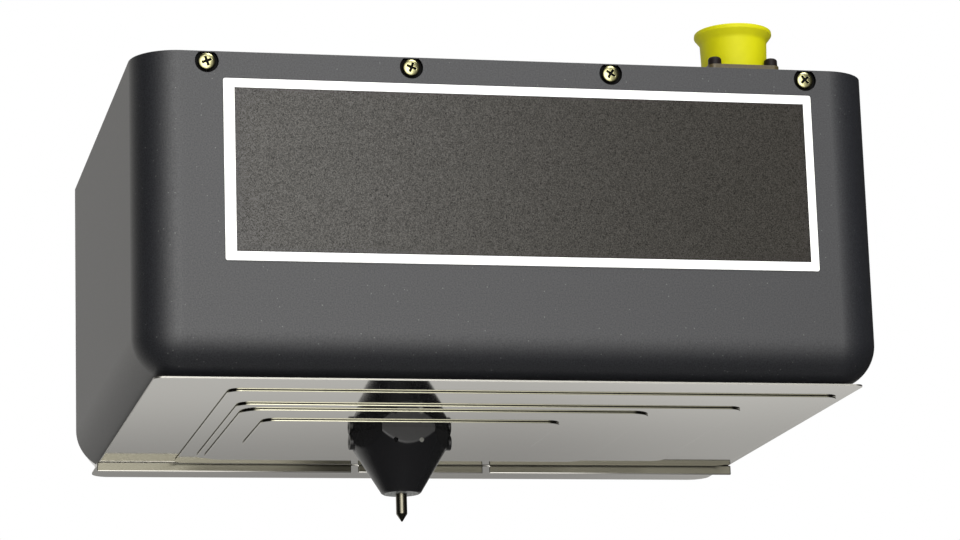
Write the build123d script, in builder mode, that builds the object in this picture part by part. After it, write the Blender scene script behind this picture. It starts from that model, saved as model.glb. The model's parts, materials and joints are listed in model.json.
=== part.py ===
"""Nameplate marking machine: a held-up scribing head with a two-axis stage under a tub-shaped cover.

Millimetres. X to the right as seen from the front, Y to the back, Z up.
The origin is the centre of the four tapped mounting holes, on the back face of the back plate.
"""
import os
from math import radians, sqrt, tan

from build123d import *

os.makedirs("parts", exist_ok=True)

# Housing
cover_width = 343
cover_depth = 254
cover_height = 145.75
cover_wall = 4
corner_radius = 21
bottom_radius = 20
top_thick = 9.5
back_thick = 18
back_corner_radius = 20
mount_drop = 74
seat_gap = 0.3
overrun = 5

# Window in the floor of the cover, over the pan: its margins
floor_window_side = 35.5
floor_window_front = 24
floor_window_back = 22

# Cover screws, in counterbores along the top of the front face
cover_screw_count = 4
cover_screw_inset = 32.45
cover_screw_drop = 4.6
cover_screw_cup_radius = 5.3
cover_screw_cup_depth = 2.4
pan_head_radius = 3.9
pan_head_height = 2.8
pan_head_crown = 0.8
cover_screw_radius = 2
cover_screw_length = 16
cross_slot_width = 1.1
cross_slot_length = 4.6
cross_slot_depth = 1.5
close_clearance = 0.05

# Front panel
panel_side = 35
panel_height = 83
panel_thick = 0.6
panel_drop = 12.4
panel_offset = 4.5
panel_corner = 1

# Mounting holes and dowels in the back plate
mount_pitch_x = 200
mount_pitch_z = 90
mount_hole_radius = 3.4
mount_hole_depth = 15
dowel_pitch = 150
dowel_radius = 3
dowel_depth = 10

# Frame screws that join the top plate to the back plate
frame_screw_count = 5
frame_screw_inset = 31.5
frame_screw_radius = 2.5
frame_screw_head_radius = 4.2
frame_screw_head_height = 5
frame_screw_cup_clearance = 0.3
frame_screw_reach = 14
frame_screw_socket = 4
frame_screw_socket_depth = 2.5
gusset_inset = 25
gusset_thick = 8
gusset_depth = 48
gusset_height = 60
gusset_toe = 12

# Bottom pan
pan_side = 8.8
pan_front_setback = 8.8
pan_thick = 0.75
pan_back_gap = 0.5
pan_front_corner = 4
pan_back_corner = 9.5
stud_inset = 26.5
stud_front = 62
stud_back = 38
stud_radius = 1.5
stud_length = 9
stud_clearance = 0.1
nut_across_flats = 5.5
nut_height = 2.4

# Stop rail across the back of the pan
rail_back = 28
rail_overhang = 1.3
rail_height = 4.8
rail_leg = 12
rail_thick = 1.2
rail_notch_x = 34
rail_notch_width = 3.6

# Marking field: where the tool axis rests, and its travel
tool_x = -30.5
travel_front = 30
travel_back = 20
end_gap_left = 6.5
end_gap_right = 3.5
neck_radius = 8
window_margin = 0.5

# Way plates, largest first: how far each one's edges rest inside the pan's sides and the cover's ends
way_thick = 0.5
way_gap = 0.3
way_roll = 0.12
way_window_corner = 4
way_left_margins = (36.25, 44.5, 47.8)
way_right_margins = (4, 41.9, 83.4)
way_front_margins = (33.4, 61.2, 70.6)
way_back_margins = (31, 49.5, 50)
way_corners = (6, 6.5, 10, 7)
last_way_width = 143
last_way_depth = 68.6
way_follow_shares = (0.02, 0.25, 0.6, 1)
way_ride_along = (False, True, True, True)

# Nose cone
nose_across_flats = 44
nose_mouth_radius = 9.25
nose_length = 28.4
nose_half_angle = 31.5
nose_rim = 0.5
spigot_radius = 6
spigot_length = 6
spigot_clearance = 0.05
web_thick = 2.5
spring_room_radius = 5.6
retainer_radius = 8.2
retainer_thick = 4
retainer_clearance = 0.05
pin_radius = 2.65
pin_clearance = 0.05
pin_stick_out = 13.3
pin_point_length = 3.7
pin_point_radius = 0.25
pin_tail = 4
pin_head_radius = 5.2
pin_head_height = 4
pin_travel = 6
pin_end_gap = 0.1
wrench_hole_radius = 1
wrench_hole_pitch = 5.5
wrench_hole_depth = 2
vent_hole_x = 6.2
vent_hole_radius = 1.15
vent_hole_rise = 22.4
vent_hole_depth = 8
grub_recess = 0.6
nose_screw_rise = 24.7
nose_screw_head_radius = 3.6
nose_screw_head_height = 4.4
nose_screw_reach = 24.6
nose_screw_radius = 1.5
nose_screw_pocket_clearance = 0.3
nose_screw_socket = 2.5
nose_screw_socket_depth = 1.6
spring_wire_radius = 0.45
spring_turns = 6
spring_side_gap = 0.3

# Spindle above the nose
cylinder_radius = 18
cylinder_length = 56
neck_bore_radius = 3.2
cylinder_foot = 3
cylinder_foot_radius = 11

# Connector on the top plate
connector_inset = 59.4
connector_setback = 22
flange_side = 34
flange_thick = 2.8
flange_corner = 3
gasket_thick = 0.6
shell_radius = 14
shell_wall = 1.5
shell_height = 15
shell_tail_radius = 13
shell_tail_length = 16
shell_hole_clearance = 0.3
insert_clearance = 0.05
insert_recess = 0.5
insert_tail = 2
contact_count = 10
contact_ring_radius = 9
contact_inner_count = 4
contact_inner_radius = 4
contact_radius = 0.8
contact_depth = 4
flange_screw_pitch = 27
flange_screw_radius = 1.7
flange_screw_head_radius = 3.1
flange_screw_head_height = 3.9
flange_screw_dome = 1.5
flange_screw_depth = 8
flange_screw_socket = 2.5
flange_screw_socket_depth = 1.4

# Dust cap
cap_base_radius = 15.1
cap_waist_radius = 15.6
cap_waist_height = 14.6
cap_rim_radius = 18.1
cap_rim_height = 17.8
cap_height = 19.8
cap_fit = 0.1
cap_web = 1.6
cap_well_radius = 13.5
cap_lip = 0.9
cap_bottom_gap = 0.05

# Y stage
y_rail_inset = 51.5
y_rail_width = 12
y_rail_height = 8
y_rail_front = 38
y_rail_end_gap = 6
slide_clearance = 0.1
y_block_width = 27
y_block_length = 34
y_block_spacing = 36
y_block_height = 10
gantry_drop = 22.5
gantry_thick = 8
gantry_left_overhang = 18
gantry_right_overhang = 13
gantry_half_depth = 35
y_screw_inset = 28.5
y_screw_drop = 42
screw_radius = 4
screw_clearance = 0.05
y_screw_front = 22
y_nut_bracket_width = 24
y_nut_bracket_depth = 16
y_bearing_front = 26
y_bearing_depth = 10
motor_side = 42
motor_length = 39
motor_corner = 4
motor_pilot_radius = 11
motor_pilot_height = 2
motor_bracket_thick = 6
motor_back_gap = 1
coupling_radius = 9
coupling_length = 18
coupling_gap = 2
nut_radius = 8
nut_flange_radius = 11
nut_flange_thick = 3
nut_tail = 4
bearing_radius = 9
bearing_width = 6
screw_bracket_half_width = 12
screw_bracket_foot = 14

# X stage
x_rail_width = 15
x_rail_height = 10
x_rail_end_gap = 2
x_block_length = 50
x_block_width = 34
x_block_height = 14
x_block_top_gap = 3
carriage_thick = 8
carriage_half_width = 30
carriage_front = 26
carriage_back = 44
x_screw_back = 32
x_screw_drop = 68
x_bracket_inset = 10
x_bracket_thick = 6

# Limit switches
switch_length = 14
switch_width = 6
switch_height = 9
switch_plunger_radius = 1
switch_plunger_length = 1.5
switch_gap = 0.4
x_switch_front = 26

# Places worked out from the sizes
top_z = mount_drop
front_y = -(cover_depth + back_thick)
frame_y = -back_thick
floor_z = top_z - cover_height
pan_z = floor_z - pan_thick
half_width = cover_width / 2
inner_half_width = half_width - cover_wall
plate_half_width = inner_half_width - seat_gap
pan_half_width = half_width - pan_side
tool_setback = cover_depth / 2
tool_y = front_y + tool_setback
y_bracket_y = frame_y - motor_back_gap - motor_length - motor_bracket_thick
y_rail_x = half_width - y_rail_inset
y_screw_x = half_width - y_screw_inset
y_switch_x = y_rail_x / 2
gusset_x = y_rail_x - gusset_inset
gantry_left = y_rail_x + gantry_left_overhang
gantry_right = y_screw_x + gantry_right_overhang
x_bracket_near = y_rail_x - x_bracket_inset
x_rail_half_length = x_bracket_near - x_rail_end_gap
travel_left = x_bracket_near - end_gap_left - carriage_half_width + tool_x
travel_right = x_bracket_near - end_gap_right - carriage_half_width - tool_x
connector_x = half_width - connector_inset
plate_under_z = top_z - top_thick
nose_top_z = pan_z - len(way_corners) * (way_gap + way_thick)
nose_end_z = nose_top_z - nose_length
connector_y = front_y + connector_setback
flange_top_z = top_z + gasket_thick + flange_thick
gantry_top_z = top_z - gantry_drop
gantry_under_z = gantry_top_z - gantry_thick
y_screw_z = top_z - y_screw_drop
x_screw_z = top_z - x_screw_drop
x_screw_y = tool_y + x_screw_back
x_block_top_z = gantry_under_z - x_block_top_gap
carriage_top_z = x_block_top_z - x_block_height
carriage_under_z = carriage_top_z - carriage_thick
front_plane = Plane(origin=(0, front_y, 0), x_dir=(1, 0, 0), z_dir=(0, -1, 0))
back_plane = Plane(origin=(0, 0, 0), x_dir=(-1, 0, 0), z_dir=(0, 1, 0))
tool_axis = Plane(origin=(tool_x, tool_y, 0), x_dir=(1, 0, 0), z_dir=(0, -1, 0))
corner = (Align.MIN, Align.MIN, Align.MIN)
standing = (Align.CENTER, Align.CENTER, Align.MIN)
hanging = (Align.CENTER, Align.CENTER, Align.MAX)


def slab(x_span, y_span, z_span, mode=Mode.ADD):
    """A box between two corners, in the part that is being built."""
    with Locations((x_span[0], y_span[0], z_span[0])):
        Box(x_span[1] - x_span[0], y_span[1] - y_span[0], z_span[1] - z_span[0], align=corner, mode=mode)


def rod(radius, start, direction, length, mode=Mode.ADD):
    """A round bar from a point along a direction."""
    with Locations(Plane(origin=start, z_dir=direction)):
        Cylinder(radius, length, align=standing, mode=mode)


def keep(builder, name):
    """Labels a finished piece and writes it."""
    builder.part.label = name
    export_step(builder.part, f"parts/{name}.step")


def centred(middle, size):
    return (middle - size / 2, middle + size / 2)


# Cover: the hollow first, then the tub that it is cut from
with BuildPart() as cover_hollow:
    with BuildSketch(Plane.XY.offset(floor_z + cover_wall)) as hollow_plan:
        with Locations((0, front_y + cover_wall)):
            Rectangle(2 * inner_half_width, cover_depth + overrun, align=(Align.CENTER, Align.MIN))
        fillet(hollow_plan.vertices().group_by(Axis.Y)[0], corner_radius - cover_wall)
    extrude(amount=cover_height)
    fillet(cover_hollow.edges().group_by(Axis.Z)[0].sort_by(Axis.Y)[:-1], bottom_radius - cover_wall)

cover_screw_pitch = (cover_width - 2 * cover_screw_inset) / (cover_screw_count - 1)
cover_screw_xs = [(i - (cover_screw_count - 1) / 2) * cover_screw_pitch for i in range(cover_screw_count)]
cover_screw_z = top_z - cover_screw_drop
cover_screw_points = [(x, cover_screw_z) for x in cover_screw_xs]
stud_places = (stud_front, (stud_front + cover_depth - stud_back) / 2, cover_depth - stud_back)
stud_points = [(side * (half_width - stud_inset), front_y + place) for side in (-1, 1) for place in stud_places]

with BuildPart() as cover:
    with BuildSketch(Plane.XY.offset(floor_z)) as cover_plan:
        with Locations((0, front_y)):
            Rectangle(cover_width, cover_depth, align=(Align.CENTER, Align.MIN))
        fillet(cover_plan.vertices().group_by(Axis.Y)[0], corner_radius)
    extrude(amount=cover_height)
    fillet(cover.edges().group_by(Axis.Z)[0].sort_by(Axis.Y)[:-1], bottom_radius)
    add(cover_hollow.part, mode=Mode.SUBTRACT)
    slab(
        centred(0, cover_width - 2 * floor_window_side),
        (front_y + floor_window_front, frame_y - floor_window_back),
        (floor_z - overrun, floor_z + cover_wall + overrun),
        Mode.SUBTRACT,
    )
    with BuildSketch(front_plane):
        with Locations(*cover_screw_points):
            Circle(cover_screw_cup_radius)
    extrude(amount=-cover_screw_cup_depth, mode=Mode.SUBTRACT)
    with BuildSketch(front_plane):
        with Locations(*cover_screw_points):
            Circle(cover_screw_radius + seat_gap)
    extrude(amount=-cover_wall - overrun, mode=Mode.SUBTRACT)
    with BuildSketch(Plane.XY.offset(floor_z)):
        with Locations(*stud_points):
            Circle(stud_radius + stud_clearance)
    extrude(amount=cover_wall, mode=Mode.SUBTRACT)
keep(cover, "cover")

# Pan-head screws with a cross recess, seated in the counterbores
screw_seat_y = front_y + cover_screw_cup_depth
with BuildPart() as cover_screws:
    for x in cover_screw_xs:
        with BuildSketch(Plane(origin=(x, screw_seat_y, cover_screw_z), z_dir=(0, 0, 1))) as head_half:
            with BuildLine():
                shoulder = (pan_head_radius, -pan_head_height + pan_head_crown)
                Line((0, 0), (pan_head_radius, 0))
                Line((pan_head_radius, 0), shoulder)
                ThreePointArc(
                    shoulder,
                    (pan_head_radius / 2, -pan_head_height + pan_head_crown / 4),
                    (0, -pan_head_height),
                )
                Line((0, -pan_head_height), (0, 0))
            make_face()
        revolve(head_half.sketch, axis=Axis((x, screw_seat_y, cover_screw_z), (0, 1, 0)))
        rod(cover_screw_radius, (x, screw_seat_y, cover_screw_z), (0, 1, 0), cover_screw_length)
        with Locations((x, screw_seat_y - pan_head_height, cover_screw_z)):
            Box(cross_slot_length, 2 * cross_slot_depth, cross_slot_width, mode=Mode.SUBTRACT)
            Box(cross_slot_width, 2 * cross_slot_depth, cross_slot_length, mode=Mode.SUBTRACT)
keep(cover_screws, "cover_screws")

with BuildPart() as front_panel:
    with BuildSketch(front_plane) as panel_shape:
        with Locations((panel_offset, top_z - panel_drop)):
            Rectangle(cover_width - 2 * panel_side, panel_height, align=(Align.CENTER, Align.MAX))
        fillet(panel_shape.vertices(), panel_corner)
    extrude(amount=panel_thick)
keep(front_panel, "front_panel")

# Top plate, inside the cover and flush with its rim
frame_screw_pitch = (cover_width - 2 * frame_screw_inset) / (frame_screw_count - 1)
frame_screw_xs = [(i - (frame_screw_count - 1) / 2) * frame_screw_pitch for i in range(frame_screw_count)]
frame_screw_z = top_z - top_thick / 2
flange_screw_points = [
    (connector_x + sx * flange_screw_pitch / 2, connector_y + sy * flange_screw_pitch / 2)
    for sx in (-1, 1)
    for sy in (-1, 1)
]
with BuildPart() as top_plate:
    with BuildSketch(Plane.XY.offset(plate_under_z)) as top_plan:
        with Locations((0, front_y + cover_wall + seat_gap)):
            Rectangle(
                2 * plate_half_width,
                cover_depth - cover_wall - seat_gap,
                align=(Align.CENTER, Align.MIN),
            )
        fillet(top_plan.vertices().group_by(Axis.Y)[0], corner_radius - cover_wall - seat_gap)
    extrude(amount=top_thick)
    for x in cover_screw_xs:
        rod(
            cover_screw_radius + close_clearance,
            (x, front_y, cover_screw_z),
            (0, 1, 0),
            cover_screw_cup_depth + cover_screw_length + overrun,
            Mode.SUBTRACT,
        )
    for x in frame_screw_xs:
        rod(
            frame_screw_radius + close_clearance,
            (x, frame_y, frame_screw_z),
            (0, -1, 0),
            frame_screw_reach + overrun,
            Mode.SUBTRACT,
        )
    with Locations((connector_x, connector_y, top_z)):
        Cylinder(shell_tail_radius + shell_hole_clearance, top_thick, align=hanging, mode=Mode.SUBTRACT)
    for x, y in flange_screw_points:
        rod(flange_screw_radius + close_clearance, (x, y, top_z), (0, 0, -1), flange_screw_depth, Mode.SUBTRACT)
keep(top_plate, "top_plate")

# Back plate, which carries the machine
mount_points = [(sx * mount_pitch_x / 2, sz * mount_pitch_z / 2) for sx in (-1, 1) for sz in (-1, 1)]
frame_screw_cup = frame_screw_head_height + seat_gap
with BuildPart() as back_plate:
    with BuildSketch(back_plane) as back_shape:
        with Locations((0, top_z)):
            Rectangle(2 * plate_half_width, cover_height, align=(Align.CENTER, Align.MAX))
        fillet(back_shape.vertices().group_by(Axis.Y)[0], back_corner_radius)
    extrude(amount=-back_thick)
    with BuildSketch(back_plane):
        with Locations(*mount_points):
            Circle(mount_hole_radius)
    extrude(amount=-mount_hole_depth, mode=Mode.SUBTRACT)
    with BuildSketch(back_plane):
        with Locations((-dowel_pitch / 2, 0), (dowel_pitch / 2, 0)):
            Circle(dowel_radius)
    extrude(amount=-dowel_depth, mode=Mode.SUBTRACT)
    for x in frame_screw_xs:
        rod(
            frame_screw_head_radius + frame_screw_cup_clearance,
            (x, 0, frame_screw_z),
            (0, -1, 0),
            frame_screw_cup,
            Mode.SUBTRACT,
        )
        rod(frame_screw_radius + seat_gap, (x, 0, frame_screw_z), (0, -1, 0), back_thick, Mode.SUBTRACT)
keep(back_plate, "back_plate")

with BuildPart() as frame_screws:
    for x in frame_screw_xs:
        rod(
            frame_screw_head_radius,
            (x, -frame_screw_cup, frame_screw_z),
            (0, 1, 0),
            frame_screw_head_height,
        )
        rod(
            frame_screw_radius,
            (x, -frame_screw_cup, frame_screw_z),
            (0, -1, 0),
            back_thick - frame_screw_cup + frame_screw_reach,
        )
        with BuildSketch(Plane(origin=(x, -seat_gap, frame_screw_z), z_dir=(0, 1, 0))) as socket:
            RegularPolygon(frame_screw_socket / 2, side_count=6, major_radius=False)
        extrude(socket.sketch, amount=-frame_screw_socket_depth, mode=Mode.SUBTRACT)
keep(frame_screws, "frame_screws")

# Triangular gussets in the corner of the two plates
with BuildPart() as frame_gussets:
    for side in (-1, 1):
        outer_face = side * gusset_x - gusset_thick / 2
        with BuildSketch(Plane(origin=(outer_face, frame_y, plate_under_z), x_dir=(0, 1, 0), z_dir=(1, 0, 0))) as web:
            Polygon(
                (0, 0),
                (-gusset_depth, 0),
                (-gusset_depth, -gusset_toe),
                (-gusset_toe, -gusset_height),
                (0, -gusset_height),
                align=None,
            )
        extrude(web.sketch, amount=gusset_thick)
keep(frame_gussets, "frame_gussets")

# Bottom pan and its stop rail
neck_room = neck_radius + window_margin
field_x = (tool_x - travel_left - neck_room, tool_x + travel_right + neck_room)
field_y = (tool_y - travel_front - neck_room, tool_y + travel_back + neck_room)
with BuildPart() as bottom_pan:
    with BuildSketch(Plane.XY.offset(pan_z)) as pan_plan:
        with Locations((0, front_y + pan_front_setback)):
            Rectangle(
                2 * pan_half_width,
                -front_y - pan_front_setback - pan_back_gap,
                align=(Align.CENTER, Align.MIN),
            )
        fillet(pan_plan.vertices().group_by(Axis.Y)[0], pan_front_corner)
        fillet(pan_plan.vertices().group_by(Axis.Y)[-1], pan_back_corner)
    extrude(amount=pan_thick)
    with BuildSketch(Plane.XY.offset(pan_z)) as pan_window:
        with Locations(((field_x[0] + field_x[1]) / 2, (field_y[0] + field_y[1]) / 2)):
            Rectangle(field_x[1] - field_x[0], field_y[1] - field_y[0])
        fillet(pan_window.vertices(), way_window_corner)
    extrude(amount=pan_thick, mode=Mode.SUBTRACT)
keep(bottom_pan, "bottom_pan")

with BuildPart() as pan_studs:
    for x, y in stud_points:
        rod(stud_radius, (x, y, floor_z), (0, 0, 1), stud_length)
keep(pan_studs, "pan_studs")

with BuildPart() as pan_nuts:
    for x, y in stud_points:
        with BuildSketch(Plane(origin=(x, y, floor_z + cover_wall), z_dir=(0, 0, 1))) as nut_ring:
            RegularPolygon(nut_across_flats / 2, side_count=6, major_radius=False)
            Circle(stud_radius + close_clearance, mode=Mode.SUBTRACT)
        extrude(nut_ring.sketch, amount=nut_height)
keep(pan_nuts, "pan_nuts")

with BuildPart() as stop_rail:
    rail_y = frame_y - rail_back
    rail_length = 2 * (pan_half_width + rail_overhang)
    slab(centred(0, rail_length), (rail_y, rail_y + rail_leg), (pan_z - rail_thick, pan_z))
    slab(centred(0, rail_length), (rail_y, rail_y + rail_thick), (pan_z - rail_height, pan_z))
    for side in (-1, 1):
        slab(
            centred(side * rail_notch_x, rail_notch_width),
            (rail_y - overrun, rail_y + rail_thick),
            (pan_z - rail_height, pan_z - rail_thick),
            Mode.SUBTRACT,
        )
keep(stop_rail, "stop_rail")

# Way plates: each window clears the neck over the travel that the plate doesn't share
way_spans_x = [
    (left - pan_half_width, pan_half_width - right)
    for left, right in zip(way_left_margins, way_right_margins)
]
way_spans_x.append(centred(tool_x, last_way_width))
way_spans_y = [
    (front_y + front, frame_y - back)
    for front, back in zip(way_front_margins, way_back_margins)
]
way_spans_y.append(centred(tool_y, last_way_depth))
for i, way_corner in enumerate(way_corners):
    spare_share = 1 - way_follow_shares[i]
    slot_x = (
        tool_x - travel_left * spare_share - neck_room,
        tool_x + travel_right * spare_share + neck_room,
    )
    drift = (0, 0) if way_ride_along[i] else (travel_front, travel_back)
    slot_y = (tool_y - drift[0] - neck_room, tool_y + drift[1] + neck_room)
    way_x = way_spans_x[i]
    way_y = way_spans_y[i]
    way_plane = Plane.XY.offset(pan_z - (i + 1) * (way_gap + way_thick))
    with BuildPart() as way_plate:
        with BuildSketch(way_plane) as way_plan:
            with Locations((way_x[0], way_y[0])):
                Rectangle(way_x[1] - way_x[0], way_y[1] - way_y[0], align=(Align.MIN, Align.MIN))
            fillet(way_plan.vertices(), way_corner)
        extrude(amount=way_thick)
        fillet(way_plate.edges().group_by(Axis.Z)[0], way_roll)
        if way_follow_shares[i] < 1:
            with BuildSketch(way_plane) as way_window:
                with Locations((slot_x[0], slot_y[0])):
                    Rectangle(slot_x[1] - slot_x[0], slot_y[1] - slot_y[0], align=(Align.MIN, Align.MIN))
                fillet(way_window.vertices(), way_window_corner)
        else:
            with BuildSketch(way_plane) as way_window:
                with Locations((tool_x, tool_y)):
                    Circle(spigot_radius + spigot_clearance)
        extrude(amount=way_thick, mode=Mode.SUBTRACT)
    keep(way_plate, f"way_plate_{i + 1}")

# Nose cone: a hexagon turned to a cone, so that each flat ends in a scallop
nose_top_radius = nose_mouth_radius + nose_length * tan(radians(nose_half_angle))
spring_room_top_z = nose_top_z - spigot_length - web_thick
retainer_top_z = nose_end_z + retainer_thick
with BuildPart() as nose_cone:
    with BuildSketch(Plane.XY.offset(nose_end_z).shift_origin((tool_x, tool_y, nose_end_z))) as nose_hexagon:
        RegularPolygon(nose_across_flats / 2, side_count=6, major_radius=False, rotation=30)
    extrude(amount=nose_length)
    with BuildSketch(tool_axis) as nose_half:
        Polygon(
            (0, nose_end_z),
            (nose_mouth_radius - nose_rim, nose_end_z),
            (nose_mouth_radius, nose_end_z + nose_rim),
            (nose_top_radius, nose_top_z),
            (0, nose_top_z),
            align=None,
        )
    revolve(axis=Axis((tool_x, tool_y, 0), (0, 0, 1)), mode=Mode.INTERSECT)
    rod(spigot_radius + spigot_clearance, (tool_x, tool_y, nose_top_z), (0, 0, -1), spigot_length, Mode.SUBTRACT)
    rod(
        pin_radius + pin_clearance,
        (tool_x, tool_y, nose_top_z),
        (0, 0, -1),
        nose_length,
        Mode.SUBTRACT,
    )
    rod(
        spring_room_radius,
        (tool_x, tool_y, spring_room_top_z),
        (0, 0, -1),
        spring_room_top_z - retainer_top_z,
        Mode.SUBTRACT,
    )
    rod(
        retainer_radius + retainer_clearance,
        (tool_x, tool_y, nose_end_z),
        (0, 0, 1),
        retainer_thick,
        Mode.SUBTRACT,
    )
    for side in (-1, 1):
        head_base = nose_screw_reach - nose_screw_head_height
        rod(
            nose_screw_radius + close_clearance,
            (tool_x + side * nose_screw_reach, tool_y, nose_end_z + nose_screw_rise),
            (-side, 0, 0),
            nose_screw_reach - spigot_radius,
            Mode.SUBTRACT,
        )
        rod(
            nose_screw_head_radius + nose_screw_pocket_clearance,
            (tool_x + side * head_base, tool_y, nose_end_z + nose_screw_rise),
            (side, 0, 0),
            nose_screw_reach,
            Mode.SUBTRACT,
        )
        rod(
            vent_hole_radius,
            (tool_x + side * vent_hole_x, tool_y - nose_across_flats / 2, nose_end_z + vent_hole_rise),
            (0, 1, 0),
            vent_hole_depth,
            Mode.SUBTRACT,
        )
keep(nose_cone, "nose_cone")

with BuildPart() as nose_screws:
    for side in (-1, 1):
        screw_face = tool_x + side * nose_screw_reach
        screw_z = nose_end_z + nose_screw_rise
        rod(nose_screw_head_radius, (screw_face, tool_y, screw_z), (-side, 0, 0), nose_screw_head_height)
        rod(
            nose_screw_radius,
            (screw_face, tool_y, screw_z),
            (-side, 0, 0),
            nose_screw_reach - spigot_radius - pin_end_gap,
        )
        with BuildSketch(Plane(origin=(screw_face, tool_y, screw_z), z_dir=(side, 0, 0))) as socket:
            RegularPolygon(nose_screw_socket / 2, side_count=6, major_radius=False)
        extrude(socket.sketch, amount=-nose_screw_socket_depth, mode=Mode.SUBTRACT)
keep(nose_screws, "nose_screws")

grub_face_y = tool_y - nose_across_flats / 2 + grub_recess
with BuildPart() as vent_grub_screw:
    rod(
        vent_hole_radius - close_clearance,
        (tool_x + vent_hole_x, grub_face_y, nose_end_z + vent_hole_rise),
        (0, 1, 0),
        vent_hole_depth - grub_recess - pin_end_gap,
    )
keep(vent_grub_screw, "vent_grub_screw")

with BuildPart() as pin_retainer:
    rod(retainer_radius, (tool_x, tool_y, nose_end_z), (0, 0, 1), retainer_thick)
    rod(pin_radius + pin_clearance, (tool_x, tool_y, nose_end_z), (0, 0, 1), retainer_thick, Mode.SUBTRACT)
    for side in (-1, 1):
        rod(
            wrench_hole_radius,
            (tool_x + side * wrench_hole_pitch, tool_y, nose_end_z),
            (0, 0, 1),
            wrench_hole_depth,
            Mode.SUBTRACT,
        )
keep(pin_retainer, "pin_retainer")

# Scribing pin, with a head that the return spring lifts against the web of the nose
pin_head_top_z = spring_room_top_z - pin_end_gap
pin_tip_z = nose_end_z - pin_stick_out
with BuildPart() as scribing_pin:
    with BuildSketch(tool_axis) as pin_half:
        Polygon(
            (0, pin_tip_z),
            (pin_point_radius, pin_tip_z),
            (pin_radius, pin_tip_z + pin_point_length),
            (pin_radius, pin_head_top_z - pin_head_height),
            (pin_head_radius, pin_head_top_z - pin_head_height),
            (pin_head_radius, pin_head_top_z),
            (pin_radius, pin_head_top_z),
            (pin_radius, nose_top_z - spigot_length + pin_tail),
            (0, nose_top_z - spigot_length + pin_tail),
            align=None,
        )
    revolve(axis=Axis((tool_x, tool_y, 0), (0, 0, 1)))
keep(scribing_pin, "scribing_pin")

# Return spring, from the retainer up to the pin's head
spring_low_z = retainer_top_z + spring_side_gap + spring_wire_radius
spring_high_z = pin_head_top_z - pin_head_height - spring_side_gap - spring_wire_radius
spring_radius = (pin_radius + spring_room_radius) / 2
with BuildPart() as return_spring:
    with BuildLine() as coil:
        Helix(
            pitch=(spring_high_z - spring_low_z) / spring_turns,
            height=spring_high_z - spring_low_z,
            radius=spring_radius,
            center=(tool_x, tool_y, spring_low_z),
        )
    with BuildSketch(Plane(origin=coil.line @ 0, z_dir=coil.line % 0)):
        Circle(spring_wire_radius)
    sweep(is_frenet=True)
keep(return_spring, "return_spring")

# Spindle above the way plates
neck_end_z = nose_top_z + way_thick
cylinder_end_z = carriage_under_z - cylinder_length
with BuildPart() as spindle_neck:
    rod(neck_radius, (tool_x, tool_y, neck_end_z), (0, 0, 1), cylinder_end_z - neck_end_z)
    rod(spigot_radius, (tool_x, tool_y, neck_end_z), (0, 0, -1), way_thick + spigot_length)
    rod(
        neck_bore_radius,
        (tool_x, tool_y, nose_top_z - spigot_length),
        (0, 0, 1),
        cylinder_end_z - nose_top_z + spigot_length,
        Mode.SUBTRACT,
    )
keep(spindle_neck, "spindle_neck")

with BuildPart() as scribe_cylinder:
    rod(cylinder_radius, (tool_x, tool_y, carriage_under_z), (0, 0, -1), cylinder_length - cylinder_foot)
    rod(cylinder_foot_radius, (tool_x, tool_y, cylinder_end_z), (0, 0, 1), cylinder_length)
keep(scribe_cylinder, "scribe_cylinder")

# Connector: gasket, shell with its square flange, insert and flange screws
with BuildPart() as connector_gasket:
    with BuildSketch(Plane(origin=(connector_x, connector_y, top_z))) as gasket_plan:
        Rectangle(flange_side, flange_side)
        fillet(gasket_plan.vertices(), flange_corner)
        Circle(shell_tail_radius + shell_hole_clearance, mode=Mode.SUBTRACT)
        with GridLocations(flange_screw_pitch, flange_screw_pitch, 2, 2):
            Circle(flange_screw_radius + seat_gap, mode=Mode.SUBTRACT)
    extrude(amount=gasket_thick)
keep(connector_gasket, "connector_gasket")

with BuildPart() as connector_shell:
    with BuildSketch(Plane(origin=(connector_x, connector_y, top_z + gasket_thick))) as flange_plan:
        Rectangle(flange_side, flange_side)
        fillet(flange_plan.vertices(), flange_corner)
        with GridLocations(flange_screw_pitch, flange_screw_pitch, 2, 2):
            Circle(flange_screw_radius + seat_gap, mode=Mode.SUBTRACT)
    extrude(amount=flange_thick)
    rod(shell_radius, (connector_x, connector_y, flange_top_z), (0, 0, 1), shell_height)
    rod(
        shell_tail_radius,
        (connector_x, connector_y, top_z + gasket_thick),
        (0, 0, -1),
        shell_tail_length,
    )
    rod(
        shell_radius - shell_wall,
        (connector_x, connector_y, flange_top_z + shell_height),
        (0, 0, -1),
        shell_height + flange_thick + shell_tail_length,
        Mode.SUBTRACT,
    )
keep(connector_shell, "connector_shell")

insert_top_z = flange_top_z + shell_height - insert_recess
insert_low_z = top_z + gasket_thick - shell_tail_length + insert_tail
with BuildPart() as connector_insert:
    with Locations((connector_x, connector_y, insert_low_z)):
        Cylinder(shell_radius - shell_wall - insert_clearance, insert_top_z - insert_low_z, align=standing)
    with BuildSketch(Plane(origin=(connector_x, connector_y, insert_top_z))):
        with PolarLocations(contact_ring_radius, contact_count):
            Circle(contact_radius)
        with PolarLocations(contact_inner_radius, contact_inner_count):
            Circle(contact_radius)
    extrude(amount=-contact_depth, mode=Mode.SUBTRACT)
keep(connector_insert, "connector_insert")

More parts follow.
